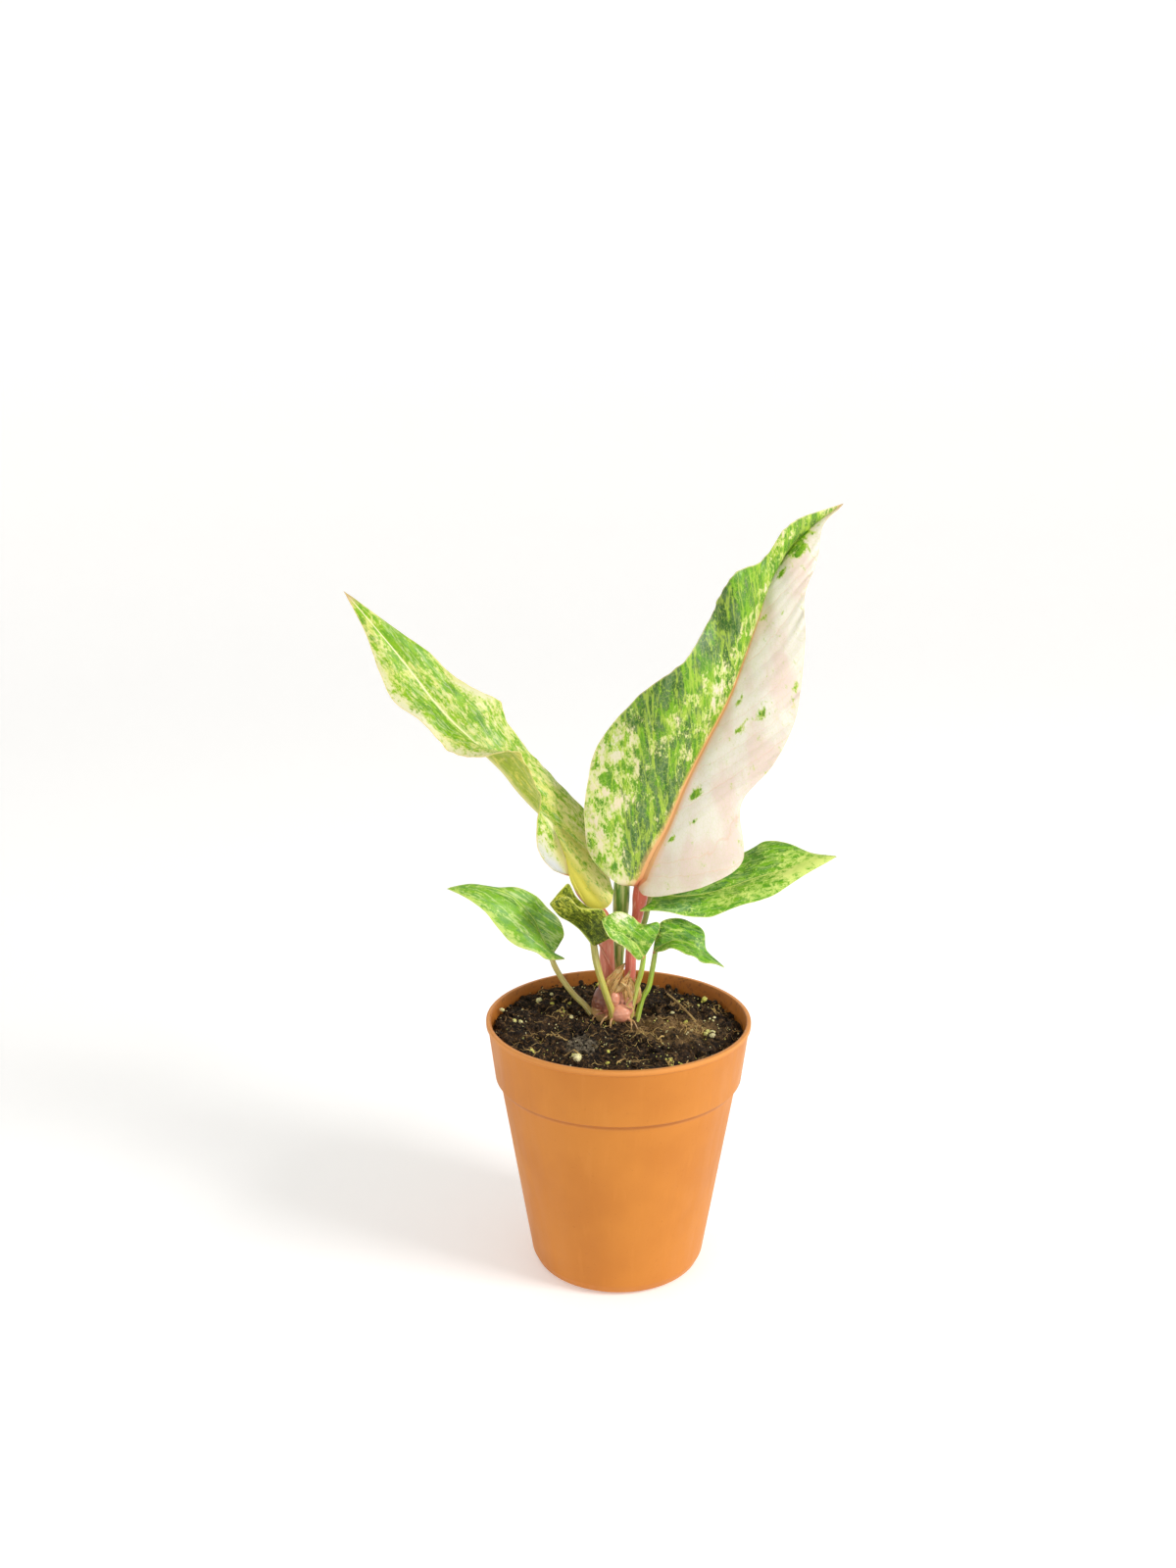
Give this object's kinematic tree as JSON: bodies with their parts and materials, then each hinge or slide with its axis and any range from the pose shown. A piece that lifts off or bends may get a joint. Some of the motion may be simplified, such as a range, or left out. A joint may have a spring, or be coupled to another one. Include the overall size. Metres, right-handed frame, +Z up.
{
  "type": "potted variegated house plant",
  "caption": "Young aroid with marbled green and cream lance-shaped leaves on pink and green stalks, growing from a short crown in a round soft plastic nursery pot of peat.",
  "frame": {"origin": "middle of the pot's flat base, where it rests", "axes": "+Z up; +X to the right and +Y away for someone facing the plant as pictured"},
  "size_m": [0.1865, 0.1076, 0.287],
  "materials": {
    "pot_plastic": "soft satin terracotta-orange moulded plastic",
    "peat": "damp dark peat with cream perlite grains and straw fibres",
    "crown_skin": "smooth pinkish-red living skin, browner low down",
    "dry_husk": "dry tan papery sheath with fine lengthwise veins",
    "marbled_leaf": "satin leaf marbled dark and light green, cream beyond the pink rib",
    "cream_leaf": "satin yellow-cream leaf with green streaks",
    "green_leaf": "satin green leaf with pale veins and margins",
    "pink_stalk": "smooth satin pink-red stalk",
    "green_stalk": "smooth satin yellow-green stalk"
  },
  "bodies": {
    "root": {"pot": "pot_plastic", "soil": "peat", "crown": "crown_skin", "husk_pointed": "dry_husk", "husk_folded": "dry_husk", "new_leaf": "green_stalk", "leaf_tall": "marbled_leaf", "leaf_tall_stalk": "pink_stalk", "leaf_long": "cream_leaf", "leaf_long_stalk": "pink_stalk", "leaf_left": "green_leaf", "leaf_left_stalk": "green_stalk", "leaf_curled": "green_leaf", "leaf_curled_stalk": "green_stalk", "leaf_pale": "cream_leaf", "leaf_pale_stalk": "green_stalk", "leaf_right": "green_leaf", "leaf_right_stalk": "green_stalk", "leaf_back": "green_leaf", "leaf_back_stalk": "green_stalk"}
  },
  "joints": []
}
